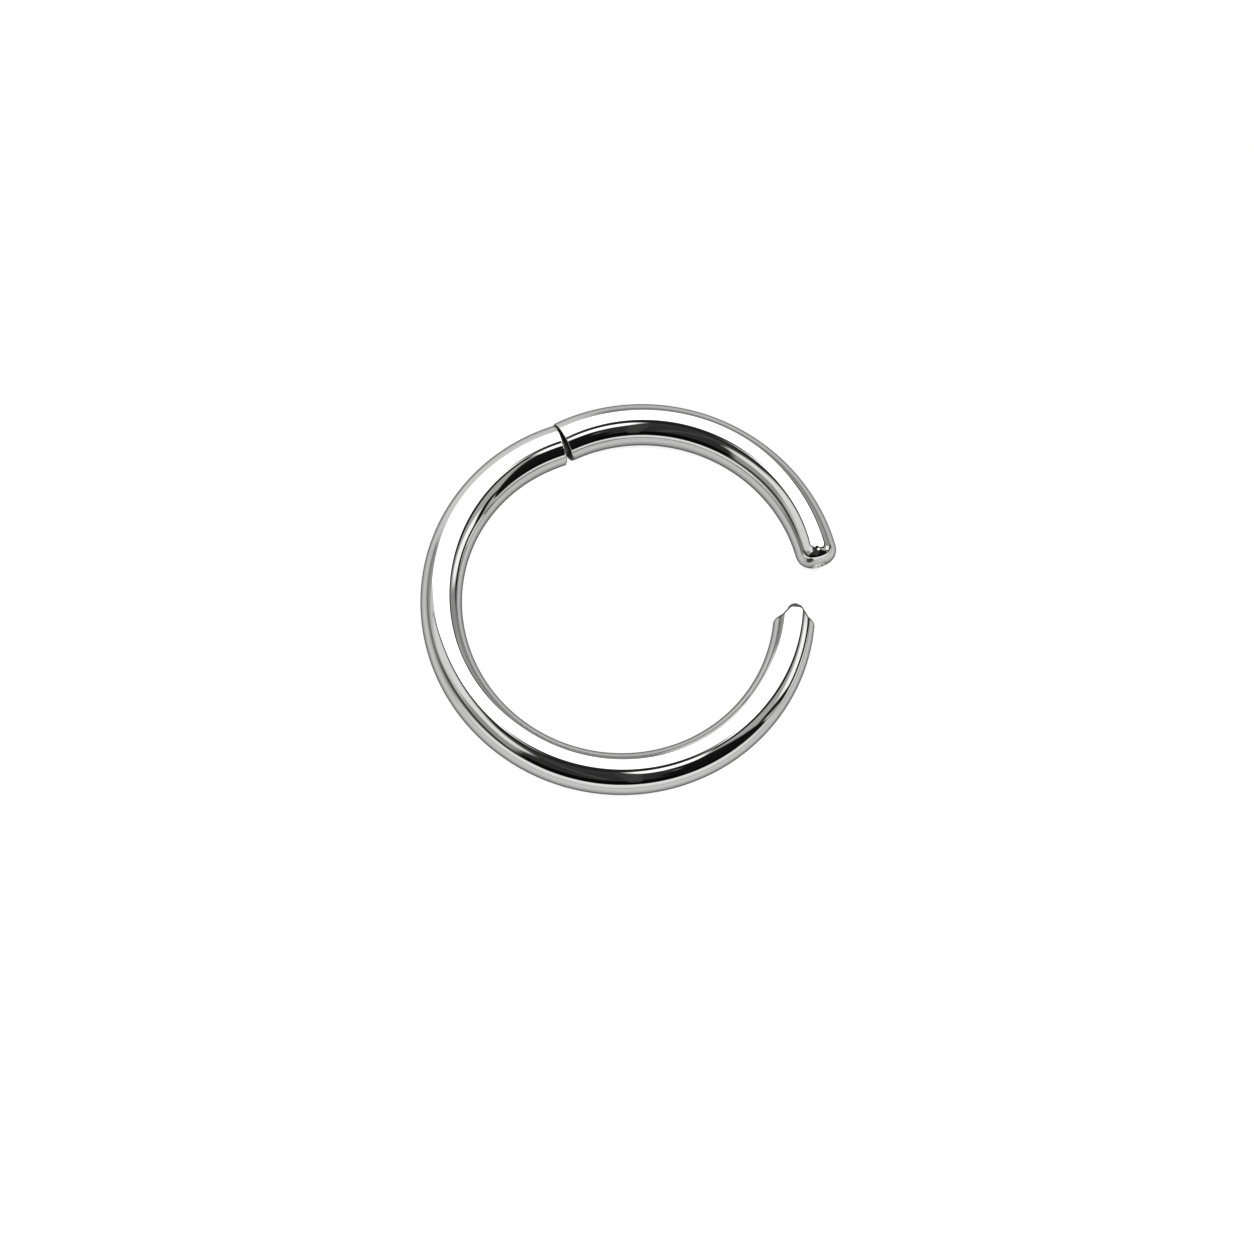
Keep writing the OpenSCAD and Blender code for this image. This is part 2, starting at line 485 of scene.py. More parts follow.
def free_end(plan, skin, theta, phi):
    """The body's free end: the wire cut upright to the tab's outline, with the round nub in its middle.

    The edge is rounded by a full radius at the ridge and by two thirds of it at the wire's sides. From
    there the wall runs in to the nub's post, which a ball closes. At angle a up the ball its radius is
    r cos a and it stands r sin a past the post's end. Where the tab reaches further, the tab's own
    height stays.
    """
    outline = rounded_outline(TAB_OUTLINE * plan.wire_r, TAB_ROUNDS * plan.wire_r, TAB_ROUND_STEPS)
    beside, height = outline[::-1].T

    def line(x):
        """How far the tab reaches at x."""
        return np.interp(np.abs(x - plan.ring_r), beside, height)

    def facing(x):
        """Normal of the tab's upright wall at x."""
        return unit(joined(-slope_of(line, x), 1.0, 0.0))

    def add(points, normals):
        """Adds a grid from the end's frame, which is the seam frame turned by phi."""
        skin.grid(turned(points, phi), turned(normals, phi), CUT)

    step = quarter(TAB_EDGE_STEPS)
    edge = plan.tab_edge_r * (2 + np.sin(theta) ** 2) / 3
    radius = plan.wire_r - edge * (1 - np.cos(step))
    rim = end_ring(plan, theta, radius, line, -edge * (1 - np.sin(step)))
    reach = plan.ring_r + plan.wire_r * np.cos(theta)
    arc_rows(plan, skin, theta, phi - TAB_ROOM, phi + np.arcsin(rim[0, :, 1] / reach), NEAR_STEPS)
    add(rim, slopes(rim, (0, 1, 0), closed=True))

    post_x, post_z = plan.ring_r + plan.nub_r * np.cos(theta), plan.nub_r * np.sin(theta)
    x = between(rim[-1, :, 0], post_x, shares(WALL_STEPS))
    z = between(rim[-1, :, 2], post_z, shares(WALL_STEPS))
    add(joined(x, line(x), z), facing(x))
    post = np.stack([line(post_x), np.maximum(line(post_x), plan.nub_foot)])
    add(joined(post_x, post, post_z), np.stack([joined(np.cos(theta), 0.0, np.sin(theta))] * 2))

    rise = quarter(BALL_STEPS)
    x = plan.ring_r + plan.nub_r * np.cos(rise) * np.cos(theta)
    z = plan.nub_r * np.cos(rise) * np.sin(theta)
    y = plan.nub_foot + plan.nub_r * np.sin(rise)
    ball = joined(np.cos(rise) * np.cos(theta), np.sin(rise), np.cos(rise) * np.sin(theta))
    normals = np.where((line(x) > y)[..., None], facing(x), ball)
    add(joined(x, np.maximum(line(x), y), z), normals)


def dome(plan, skin, theta, phi):
    """The segment's free end: half a squarish ellipsoid with a ball's dimple pressed into it.

    At angle a the radius is r cos^k a and the height h sin^k a, where k = 1 would give an ellipse.
    The dimple lowers the height to the ball's lower face, and a smooth minimum of the two rounds
    its rim.
    """
    rises = whole([np.linspace(low, high, steps + 1) for low, high, steps in DOME_STRETCHES])[:, None]
    radius = plan.wire_r * np.cos(rises) ** DOME_POWER
    height = plan.dome_h * np.sin(rises) ** DOME_POWER
    ball = math.hypot(plan.ring_r, plan.nub_foot)
    turn = math.atan(plan.nub_foot / plan.ring_r) + plan.body_end - plan.segment_end
    ball_x, ball_h = ball * math.cos(turn) - plan.ring_r, -ball * math.sin(turn)
    off = (radius * np.cos(theta) - ball_x) ** 2 + (radius * np.sin(theta)) ** 2
    left = (plan.nub_r + DIMPLE_GAP) ** 2 - off
    floor = ball_h - np.sqrt(np.maximum(left, 0))
    near = np.maximum(RIM_BLEND - np.abs(height - floor), 0) / RIM_BLEND
    height = np.minimum(height, floor) - near ** 2 * RIM_BLEND / 4
    outwards = np.array([math.cos(phi), math.sin(phi), 0])
    onwards = np.array([math.sin(phi), -math.cos(phi), 0])
    points = (
        plan.ring_r * outwards
        + (radius * np.cos(theta))[..., None] * outwards
        + (radius * np.sin(theta))[..., None] * np.array([0, 0, 1])
        + height[..., None] * onwards
    )
    skin.grid(points, slopes(points, onwards, closed=True))


def body_skin(plan):
    """The long arc: a fork of two ears with a blind slot between them, the wire, and the free end."""
    skin = Skin()
    chord = math.asin(plan.slot_z / plan.wire_r)
    stretches = columns(chord)
    theta = whole(stretches)
    reach = plan.ring_r + plan.wire_r * np.cos(theta)
    end = plan.body_end + 2 * math.pi - plan.seam
    arc_rows(plan, skin, theta, np.arcsin(plan.slot_y / reach), SEAM_ROOM, EAR_STEPS)
    arc_rows(plan, skin, theta, SEAM_ROOM, end - TAB_ROOM, BODY_STEPS)
    free_end(plan, skin, theta, end)
    fork(plan, skin, stretches, chord)
    return skin


def fork(plan, skin, stretches, chord):
    """The body's hinge end: a section like a C round the slot, with its edges rounded.

    The C runs from one side of the slot's mouth over the inside of the ring to the other. Its end
    face is ruled from the rounded edge to the slot's outline.
    """
    theta = whole(stretches[1:])
    share = (theta - chord) / (2 * math.pi - 2 * chord)
    inner = np.clip(1 - np.abs(theta - math.pi) / INNER_SPREAD, 0, 1) ** 2
    edge = plan.ear_edge_r + (plan.inner_edge_r - plan.ear_edge_r) * inner
    step = quarter(EDGE_STEPS)
    radius = plan.wire_r - edge * (1 - np.cos(step))
    first = np.arcsin(plan.slot_z / radius[:, :1])
    across = first + (2 * math.pi - 2 * first) * share
    rim = end_ring(plan, across, radius, plan.body_line, edge * (1 - np.sin(step)))
    rim[:, 0, 2], rim[:, -1, 2] = plan.slot_z, -plan.slot_z
    skin.grid(rim, slopes(rim, (0, -1, 0)))
    ear_y = between(rim[0, :, 1], plan.slot_y, shares(EAR_STEPS))
    reach = plan.ring_r + plan.wire_r * np.cos(theta)
    ear, ear_normals = wire_point(plan, theta, np.arcsin(ear_y / reach))
    ear[:, 0, 2], ear[:, -1, 2] = plan.slot_z, -plan.slot_z
    skin.grid(ear, ear_normals)

    x, z = rim[-1, :, 0], rim[-1, :, 2]
    slot_x = np.maximum(x, plan.slot_x)
    slot_z = np.clip(np.where(x > plan.slot_x, np.sign(z) * plan.slot_z, z), -plan.slot_z, plan.slot_z)
    mouth = joined(slot_x, plan.body_line(slot_x), slot_z)
    facing = unit(joined(slope_of(plan.body_line, x), -1.0, 0.0))
    skin.grid(np.stack([rim[-1], mouth]), np.stack([facing] * 2), CUT)

    web = x <= plan.slot_x
    back = np.array([[plan.slot_x, plan.slot_y, z] for z in (-plan.slot_z, plan.slot_z)])
    skin.flat([mouth[web], back], (1, 0, 0))
    for side in (1, -1):
        near = np.flatnonzero((side * z > 0) & ~web)
        near = near if side == 1 else near[::-1]
        corner = np.array([[plan.slot_x, 0, side * plan.slot_z]])
        outside = [rim[::-1, near[0]], ear[1:, near[0]]]
        skin.flat([corner, mouth[near][::-1], *outside, back[[(side + 1) // 2]]], (0, 0, -side))
    outer_reach = plan.ring_r + plan.wire_r * np.cos(stretches[0])
    outer, _ = wire_point(plan, stretches[0], np.arcsin(plan.slot_y / outer_reach))
    skin.flat([outer, back[::-1]], (0, -1, 0))


def segment_skin(plan):
    """The short arc in its closed place: tongue, shoulder, wire, and dome with its dimple."""
    skin = Skin()
    inset_r = plan.wire_r - plan.edge_r
    chord = math.asin(plan.tongue_z / inset_r)
    stretches = columns(chord)
    theta = whole(stretches)
    step = quarter(EDGE_STEPS)
    radius = plan.wire_r - plan.edge_r * (1 - np.cos(step))
    lift = -plan.edge_r * (1 - np.sin(step))
    rim = end_ring(plan, theta, radius, plan.segment_line, lift)
    skin.grid(rim, slopes(rim, (0, 1, 0), closed=True))
    reach = plan.ring_r + plan.wire_r * np.cos(theta)
    end = plan.segment_end - plan.seam
    arc_rows(plan, skin, theta, np.arcsin(rim[0, :, 1] / reach), -SEAM_ROOM, NEAR_STEPS)
    arc_rows(plan, skin, theta, -SEAM_ROOM, end, SEGMENT_STEPS)
    dome(plan, skin, theta, end)

    # Columns on the outer side, over the top and on the inner side, each with its neighbour's first
    cut = [SIDE_STEPS, SIDE_STEPS + TOP_STEPS, 2 * SIDE_STEPS + TOP_STEPS]
    outer, top, inner, _ = np.split(np.arange(len(theta)), cut)
    top, inner = np.append(top, inner[0]), np.append(inner, cut[2])
    outer = np.append(outer, top[0])
    inset = rim[-1]
    shoulder = inset[top]
    shoulder[[0, -1], 2] = plan.tongue_z
    chord_line = shoulder * (1, 1, 0) + (0, 0, plan.tongue_z)
    slope = np.gradient(chord_line[:, 1], chord_line[:, 0])
    normals = unit(joined(-slope, 1.0, 0.0))
    for side in (1, -1):
        flip = np.array([1, 1, side])
        skin.grid(np.stack([shoulder, chord_line]) * flip, np.stack([normals] * 2) * flip, CUT)

    # The tongue's inner edge stands on the column nearest to its real place
    edge_at = int(np.argmin(np.abs(chord_line[:, 0] - plan.tongue_x)))
    inner_x = chord_line[edge_at, 0]
    outer_x = chord_line[0, 0]
    beside = chord_line[edge_at:, 0][::-1]
    share = ((beside - beside[0]) / (inner_x - beside[0]))[:, None]
    x = between(inset[inner, 0], inner_x, share)
    strip = joined(x, plan.segment_line(x), inset[inner, 2])
    strip[:, 0, 2], strip[:, -1, 2] = plan.tongue_z, -plan.tongue_z
    strip[0] = inset[inner]
    strip[:, [0, -1], 1] = chord_line[edge_at:, 1][::-1][:, None]
    skin.grid(strip, slopes(strip, (0, 1, 0)), CUT)
    tongue(plan, skin, inner_x, outer_x, chord_line[:edge_at + 1], strip[-1, :, 2], inset[outer])
    return skin


def tongue(plan, skin, inner_x, outer_x, root, heights, ledge):
    """The flat tongue: an outline in plan carried upright between its two faces, with a bore.

    The outline is a straight inner edge, a quarter circle at its corner, the nose's circle about the
    pin from there to the outer edge, and that straight edge. The bore is two half circles.
    """
    low, pin_x, pin_y = -plan.seam_gap, plan.pin_x, plan.pin_y
    turn = quarter(CORNER_STEPS)[:, 0]
    corner = np.stack([
        inner_x + TONGUE_CORNER_R * (1 - np.cos(turn)), pin_y - TONGUE_CORNER_R * (1 - np.sin(turn))], -1)
    stop = math.acos((outer_x - pin_x) / plan.tongue_r)
    sweep = np.linspace(math.pi, stop, NOSE_STEPS + 1)
    nose = np.stack([pin_x + plan.tongue_r * np.cos(sweep), pin_y + plan.tongue_r * np.sin(sweep)], -1)
    inner_edge = np.concatenate([[[inner_x, low]], corner, nose[:1]])
    outer_edge = np.array([[outer_x, pin_y], [outer_x, low]])
    around = np.linspace(0, math.pi, BORE_STEPS + 1)
    bore_r = plan.pin_r + PIN_GAP
    bore = np.stack([pin_x + bore_r * np.cos(around), pin_y + bore_r * np.sin(around)], -1)
    under = np.stack([bore[:, 0], 2 * pin_y - bore[:, 1]], -1)

    def upright(line, normals):
        """A wall over a line in plan, between the tongue's two faces."""
        walls = np.zeros((len(line), len(heights), 3))
        walls[..., :2], walls[..., 2] = line[:, None], heights
        facing = np.zeros_like(walls)
        facing[..., :2] = normals[:, None]
        skin.grid(walls, facing, CUT)

    for line, normal in ((inner_edge[:2], (-1, 0)), (inner_edge[-2:], (0, 1)),
                         (np.array([nose[-1], outer_edge[0]]), (1, 0)), (outer_edge, (1, 0))):
        upright(line, np.array([normal] * len(line), float))
    upright(corner, np.stack([-np.cos(turn), np.sin(turn)], -1))
    upright(nose, np.stack([np.cos(sweep), np.sin(sweep)], -1))
    for line in (bore, under):
        upright(line, unit(np.array([pin_x, pin_y]) - line))
    for side in (1, -1):
        z = side * plan.tongue_z

        def level(line):
            """A line in plan at the face's height."""
            return joined(line[:, 0], line[:, 1], z)

        skin.flat([level(inner_edge), level(under[::-1]), level(outer_edge), level(root[:, :2])],
                  (0, 0, side))
        skin.flat([level(nose), level(outer_edge[:1]), level(bore)], (0, 0, side))
    skin.flat([ledge, joined(outer_x, low, heights)], (0, 1, 0))


def pin_skin(plan):
    """The hinge pin: a cylinder with chamfered ends, which lie blind in the ears.

    A profile of radius, height, and the normal's outward and upward parts is turned about the pin's
    line: radius cos a across, radius sin a up the table.
    """
    skin = Skin()
    theta = np.linspace(0, 2 * math.pi, PIN_STEPS + 1)
    top, end_r = plan.pin_h / 2, plan.pin_r - PIN_CHAMFER
    radius, height, outward, upward = np.array([
        [0, -top, 0, -1], [end_r, -top, 0, -1],
        [plan.pin_r, -top + PIN_CHAMFER, 1, 0], [plan.pin_r, top - PIN_CHAMFER, 1, 0],
        [end_r, top, 0, 1], [0, top, 0, 1],
    ]).T[..., None]
    points = joined(plan.pin_x + radius * np.cos(theta), plan.pin_y + radius * np.sin(theta), height)
    skin.grid(points, joined(outward * np.cos(theta), outward * np.sin(theta), upward), CUT)
    return skin


def add_node(tree, kind, inputs=(), **settings):
    """Adds a node, with its settings and what goes into its sockets: values or other sockets."""
    node = tree.nodes.new(kind)
    for name, value in settings.items():
        setattr(node, name, value)
    for socket, value in dict(inputs).items():
        if isinstance(value, bpy.types.NodeSocket):
            tree.links.new(value, node.inputs[socket])
        else:
            node.inputs[socket].default_value = value
    return node


def new_material(name):
    """An empty node material, its tree and its output node."""
    material = bpy.data.materials.new(name)
    material.use_nodes = True
    material.node_tree.nodes.clear()
    return material, material.node_tree, material.node_tree.nodes.new("ShaderNodeOutputMaterial")


def per_mm(size_mm):
    """Scale of a texture whose features are this many millimetres across."""
    return 1 / (size_mm * MM)


POLISHED_NAME = "mirror-polished surgical steel"
# The cut steel's material also carries painted shade for the seam's gap
CUT_AND_SHADE_NAME = "wire-cut surgical steel with painted gap shade"


def mirror_steel(finish):
    """Mirror-polished 316L surgical steel.

    Buffed on a soft wheel, it reflects the room almost sharply. The wheel leaves shallow waves a
    few millimetres long and a haze that comes and goes, so reflections waver a little. Seen at a
    slant it reflects less than head-on, as iron and chromium do shortly before a grazing view. The
    share that it keeps is lower than theirs.
    """
    material, tree, out = new_material(POLISHED_NAME)
    place = add_node(tree, "ShaderNodeTexCoord").outputs["Object"]
    waves = add_node(tree, "ShaderNodeTexNoise", {
        "Vector": place, "Scale": per_mm(2.2), "Detail": 1.0, "Roughness": 0.4})
    haze = add_node(tree, "ShaderNodeTexNoise", {
        "Vector": place, "Scale": per_mm(0.5), "Detail": 3.0, "Roughness": 0.6})
    rough = add_node(tree, "ShaderNodeMapRange", {
        "Value": haze.outputs["Fac"], "From Min": 0.3, "From Max": 0.7,
        "To Min": finish.roughness * 0.6, "To Max": finish.roughness * 1.5})
    bump = add_node(tree, "ShaderNodeBump", {
        "Height": waves.outputs["Fac"], "Strength": 1.0, "Distance": 0.004 * MM})
    steel = add_node(tree, "ShaderNodeBsdfPrincipled", {
        "Base Color": (*finish.steel, 1), "Metallic": 1.0, "Specular Tint": (*finish.slant, 1),
        "Roughness": rough.outputs["Result"], "Normal": bump.outputs["Normal"]})
    tree.links.new(steel.outputs["BSDF"], out.inputs["Surface"])
    return material


def cut_steel_and_gap_shade(finish):
    """Wire-cut 316L steel of the hinge's inner faces and of the body's free end.

    It is only deburred, so it is duller, with fine parallel marks. Its grey is darker than that of the cut
    steel itself, as painted shade for the seam's gap and the slot. Real marks lie about 0.02 mm apart. Those
    would not show, so these lie 0.15 mm apart, which a wave's scale of 0.4 mm gives.
    """
    material, tree, out = new_material(CUT_AND_SHADE_NAME)
    place = add_node(tree, "ShaderNodeTexCoord").outputs["Object"]
    marks = add_node(tree, "ShaderNodeTexWave", {
        "Vector": place, "Scale": per_mm(0.4), "Distortion": 2.0, "Detail": 2.0},
        wave_type="BANDS", bands_direction="DIAGONAL")
    bump = add_node(tree, "ShaderNodeBump", {
        "Height": marks.outputs["Fac"], "Strength": 0.4, "Distance": 0.002 * MM})
    # The dark base colour is partly the duller cut steel and partly painted shade for the seam's gap
    steel = add_node(tree, "ShaderNodeBsdfPrincipled", {
        "Base Color": (*finish.cut_steel_and_gap_shade, 1), "Metallic": 1.0, "Roughness": 0.45,
        "Normal": bump.outputs["Normal"]})
    tree.links.new(steel.outputs["BSDF"], out.inputs["Surface"])
    return material


# Brightness of the card as the camera sees it, and in the ring's reflections
CARD_GLOW = 1.11
CARD_REFLECTED = 0.96

# Painted shade: an ambient occlusion node darkens the card for the camera where metal within the short reach
# encloses it. In the ring's reflections it greys the card by the metal within the long reach, and the power
# deepens that painted shade.
GAP_SHADE_REACH = 0.33 * MM
PAINTED_SHADE_REACH = 10 * MM
PAINTED_SHADE_POWER = 1.4
REACH_SAMPLES = 4


def lit_card(finish):
    """White card that glows evenly, like one lit from below. Only the seam's tight gap is dark on it, by
    painted shade.

    The ring's reflections see the card darker, with painted shade that greys it close under the wire, and
    with a satin gloss at a slant.
    """
    material, tree, out = new_material("backlit white card")
    # Painted shade for the camera: ambient occlusion darkens the glowing card in the seam's tight gap
    gap = add_node(tree, "ShaderNodeAmbientOcclusion", {"Distance": GAP_SHADE_REACH}, samples=REACH_SAMPLES)
    painted_gap_shade = add_node(tree, "ShaderNodeMapRange", {
        "Value": gap.outputs["AO"], "From Min": 0.1, "From Max": 0.5,
        "To Min": 0.0, "To Max": CARD_GLOW}, interpolation_type="SMOOTHSTEP").outputs["Result"]
    seen = add_node(tree, "ShaderNodeEmission", {"Color": (*finish.floor, 1), "Strength": painted_gap_shade})
    # Painted shade in reflections: ambient occlusion greys the card close under the wire
    sky = add_node(tree, "ShaderNodeAmbientOcclusion", {"Distance": PAINTED_SHADE_REACH}, samples=REACH_SAMPLES)
    shade = add_node(tree, "ShaderNodeMath", {0: sky.outputs["AO"], 1: PAINTED_SHADE_POWER}, operation="POWER")
    level = add_node(tree, "ShaderNodeMath", {0: shade.outputs[0], 1: CARD_REFLECTED}, operation="MULTIPLY")
    painted_shade_glow = add_node(tree, "ShaderNodeEmission", {"Color": (*finish.floor, 1), "Strength": level.outputs[0]})
    gloss = add_node(tree, "ShaderNodeBsdfGlossy", {"Color": (*finish.floor, 1), "Roughness": 0.1})
    grazing = add_node(tree, "ShaderNodeMapRange", {
        "Value": add_node(tree, "ShaderNodeLayerWeight", {"Blend": 0.5}).outputs["Facing"],
        "From Min": 0.6, "From Max": 0.95, "To Min": 0.0, "To Max": 0.5}).outputs["Result"]
    reflected = add_node(tree, "ShaderNodeMixShader", {0: grazing, 1: painted_shade_glow.outputs[0], 2: gloss.outputs[0]})
    camera_ray = add_node(tree, "ShaderNodeLightPath").outputs["Is Camera Ray"]
    mixed = add_node(tree, "ShaderNodeMixShader", {
        0: camera_ray, 1: reflected.outputs[0], 2: seen.outputs[0]})
    tree.links.new(mixed.outputs[0], out.inputs["Surface"])
    return material


def piece(name, skin, place, materials, body, node):
    """Adds a finished skin to the scene, where it rides on its body in place of its CAD node."""
    mesh = skin.mesh(name, place)
    for material in materials:
        mesh.materials.append(material)
    made = bpy.data.objects.new(name, mesh)
    bpy.context.scene.collection.objects.link(made)
    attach(made, body)
    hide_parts(node)


def steels(context):
    """The two steels, made once and then shared."""
    finish = context.scene.clicker_finish
    made = bpy.data.materials
    return made.get(POLISHED_NAME) or mirror_steel(finish), made.get(CUT_AND_SHADE_NAME) or cut_steel_and_gap_shade(finish)


class CLICKER_OT_ring_body(Operator):
    """Build the long arc with the hinge's ears and the nub"""

    bl_idname = "clicker.ring_body"
    bl_label = "Ring body"

    def execute(self, context):
        plan = Plan(context.scene.clicker_sizes)
        piece("wire_body", body_skin(plan), plan.to_part, steels(context), "ring", "ring_body")
        return {"FINISHED"}


class CLICKER_OT_hinge_pin(Operator):
    """Build the pin that the segment turns on"""

    bl_idname = "clicker.hinge_pin"
    bl_label = "Hinge pin"

    def execute(self, context):
        plan = Plan(context.scene.clicker_sizes)
        piece("pin_shaft", pin_skin(plan), plan.to_part, steels(context), "ring", "hinge_pin")
        return {"FINISHED"}


class CLICKER_OT_hinged_segment(Operator):
    """Build the short arc with its tongue and dimpled dome, standing open"""

    bl_idname = "clicker.hinged_segment"
    bl_label = "Hinged segment"

    def execute(self, context):
        plan = Plan(context.scene.clicker_sizes)

        def place(points):
            """Points of the closed segment, turned open about the pin."""
            return plan.to_part(turned(points, plan.open_turn, (plan.pin_x, plan.pin_y)))

        piece("wire_segment", segment_skin(plan), place, steels(context), "segment", "hinged_segment")
        return {"FINISHED"}


# The studio as the ring sees it, in degrees. On the flat map a place is how far it lies from straight
# up, across towards +X and up the table towards +Y. On the round map it is a heading, counted
# counter-clockwise from +X, and the angle from straight up. Each panel is painted over those before it.
PANEL_COLUMNS = ("map", "across", "up", "half_w", "half_h", "turn", "soft", "level")
PANELS = {
    "back wall": ("round", 90, 84, 85, 18, 0, 0.4, 0.40),
    "left wall": ("flat", -52, -14, 38, 22, 0, 0.5, 0.62),
    "left corner": ("round", 219, 58, 16, 22, 0, 0.5, 0.38),
    "stand behind": ("flat", -8, 84, 6, 20, 0, 0.5, 0.28),
    "doorway": ("flat", 82, 30, 7, 12, 0, 0.5, 0.12),
    "far right": ("flat", 52, 24, 14, 9, 0, 0.5, 0.34),
    "right wall": ("flat", 48, -2, 26, 17, 0, 0.4, 0.50),
    "right lamp": ("flat", 65, 1, 9, 14, 0, 0.4, 1.3),
    "horizon": ("round", 180, 87, 200, 7, 0, 0.5, 0.28),
    "right table": ("flat", 94, -6, 9, 38, 0, 0.2, 1.1),
    "right shelf": ("flat", 81.5, 7, 5.5, 26, -8, 0.2, 0.01),
    "right rail": ("flat", 66, -19.5, 14, 5, 14, 0.3, 0.01),
    "back window": ("round", 120, 82, 19, 16, 0, 0.4, 0.85),
    "left shelf": ("flat", -82, 12, 5, 28, 14, 0.4, 0.22),
    "left rail": ("flat", -61.5, -34, 5, 27, 29, 0.4, 0.05),
    "dark room": ("round", 266, 42, 36, 36, 0, 0.08, 0.035),
    "dark floor": ("round", 267, 68, 37, 11, 0, 0.15, 0.003),
    "dark wall": ("flat", 46, -41, 27, 18, -18, 0.08, 0.008),
    "dark corner": ("round", 300, 74, 22, 7, 0, 0.3, 0.003),
    "dark door": ("flat", 25, -23, 10, 8, -25, 0.3, 0.01),
    "table's edge": ("round", 270, 92, 62, 11, 0, 0.3, 1.1),
    "camera stand": ("flat", -2, -10, 17, 10, 0, 0.4, 0.045),
    "softbox frame": ("flat", -2.5, 28, 50, 37, 5, 0.04, 0.02),
    "softbox": ("flat", -7, 34.5, 47.5, 35, 5, 0.04, 2.2),
    "upper flap": ("flat", -50, 11.5, 15, 9.5, -42, 0.15, 0.75),
    "flap": ("flat", -33.5, 3.2, 27.5, 7.5, -17, 0.06, 0.03),
    "left lamp": ("flat", -43.5, -1.5, 20, 11.5, -25, 0.25, 0.90),
    "left window": ("flat", -31.5, -15.5, 6.5, 12, 26, 0.5, 1.0),
    "camera": ("flat", 3.5, 2, 9, 6.5, 0, 0.35, 0.02),
    "window": ("flat", 12, -11.5, 5.7, 5.7, 20, 0.4, 1.8),
    "folds": ("flat", -8, -34, 2, 14, 20, 0.6, 0.07),
    "streaks": ("flat", 8, -42, 2.5, 16, 8, 0.6, 0.06),
}

# Brightness of the room between the panels, and colour of the backdrop that the camera sees
BASE_LEVEL = 0.60
BACKDROP = (0.95, 0.95, 0.95, 1)


def studio(finish):
    """A room of soft panels round the object; the camera itself sees only a plain pale backdrop.

    A panel is where (x / half width)^4 + (y / half height)^4 is under 1 on its map, and its softness
    spreads that border to both sides.
    """
    world = bpy.data.worlds.new("studio")
    world.use_nodes = True
    tree = world.node_tree
    tree.nodes.clear()

    def reckon(operation, *values):
        """The result of a Math node."""
        return add_node(tree, "ShaderNodeMath", dict(enumerate(values)), operation=operation).outputs[0]

    way = add_node(tree, "ShaderNodeTexCoord").outputs["Generated"]
    parts = add_node(tree, "ShaderNodeSeparateXYZ", {0: way}).outputs
    polar = reckon("DEGREES", reckon("ARCCOSINE", parts["Z"]))
    heading = reckon("ARCTAN2", parts["Y"], parts["X"])
    places = {
        "flat": (reckon("MULTIPLY", polar, reckon("COSINE", heading)),
                 reckon("MULTIPLY", polar, reckon("SINE", heading))),
        "round": (reckon("WRAP", reckon("DEGREES", heading), 360, 0), polar),
    }
    maps = {
        name: add_node(tree, "ShaderNodeCombineXYZ", {"X": x, "Y": y}).outputs[0]
        for name, (x, y) in places.items()
    }
    light = BASE_LEVEL
    for row in PANELS.values():
        panel = dict(zip(PANEL_COLUMNS, row))
        inside = add_node(tree, "ShaderNodeMapping", {
            "Vector": maps[panel["map"]], "Location": (panel["across"], panel["up"], 0),
            "Rotation": (0, 0, math.radians(panel["turn"])),
            "Scale": (panel["half_w"], panel["half_h"], 1)}, vector_type="TEXTURE").outputs[0]
        square = add_node(tree, "ShaderNodeVectorMath", {0: inside, 1: inside}, operation="MULTIPLY")
        fourth = add_node(tree, "ShaderNodeVectorMath", {0: square.outputs[0], 1: square.outputs[0]},
                          operation="DOT_PRODUCT").outputs["Value"]
        mask = add_node(tree, "ShaderNodeMapRange", {
            "Value": fourth, "From Min": (1 - panel["soft"]) ** 4, "From Max": (1 + panel["soft"]) ** 4,
            "To Min": 1.0, "To Max": 0.0}, interpolation_type="SMOOTHSTEP").outputs["Result"]
        light = add_node(tree, "ShaderNodeMix", {"Factor": mask, "A": light, "B": panel["level"]},
                         data_type="FLOAT").outputs["Result"]
    room = add_node(tree, "ShaderNodeBackground", {"Color": light, "Strength": finish.light})
    backdrop = add_node(tree, "ShaderNodeBackground", {"Color": BACKDROP})
    seen = add_node(tree, "ShaderNodeLightPath").outputs["Is Camera Ray"]
    mixed = add_node(tree, "ShaderNodeMixShader", {
        0: seen, 1: room.outputs[0], 2: backdrop.outputs[0]})
    add_node(tree, "ShaderNodeOutputWorld", {"Surface": mixed.outputs[0]})
    return world


# The floor's rings in metres, and the steps round each
FLOOR_RINGS = np.array([0.02, 0.1, 0.5, 1.5])
FLOOR_STEPS = 96


def floor_sheet(finish):
    """The floor: a level disc whose rings lie further apart outwards, at the ring's resting height.

    At angle a of a ring with radius r a point lies r cos a across and r sin a up the table.
    """
    theta = np.linspace(0, 2 * math.pi, FLOOR_STEPS + 1)[:-1]
    reach = FLOOR_RINGS[:, None]
    points = joined(reach * np.cos(theta), reach * np.sin(theta), 0.0)
    at = np.arange(points[..., 0].size).reshape(points.shape[:2])
    quads = np.stack([at[:-1], at[1:], np.roll(at[1:], -1, 1), np.roll(at[:-1], -1, 1)], -1)
    mesh = bpy.data.meshes.new("floor")
    mesh.from_pydata(points.reshape(-1, 3).tolist(), [], quads.reshape(-1, 4).tolist() + [at[0].tolist()])
    mesh.materials.append(lit_card(finish))
    sheet = bpy.data.objects.new("floor", mesh)
    bpy.context.scene.collection.objects.link(sheet)


# Width of the camera's sensor in millimetres, and how many times nearer and further than the ring
# it still sees
SENSOR_W = 36
CLIP_TIMES = 20


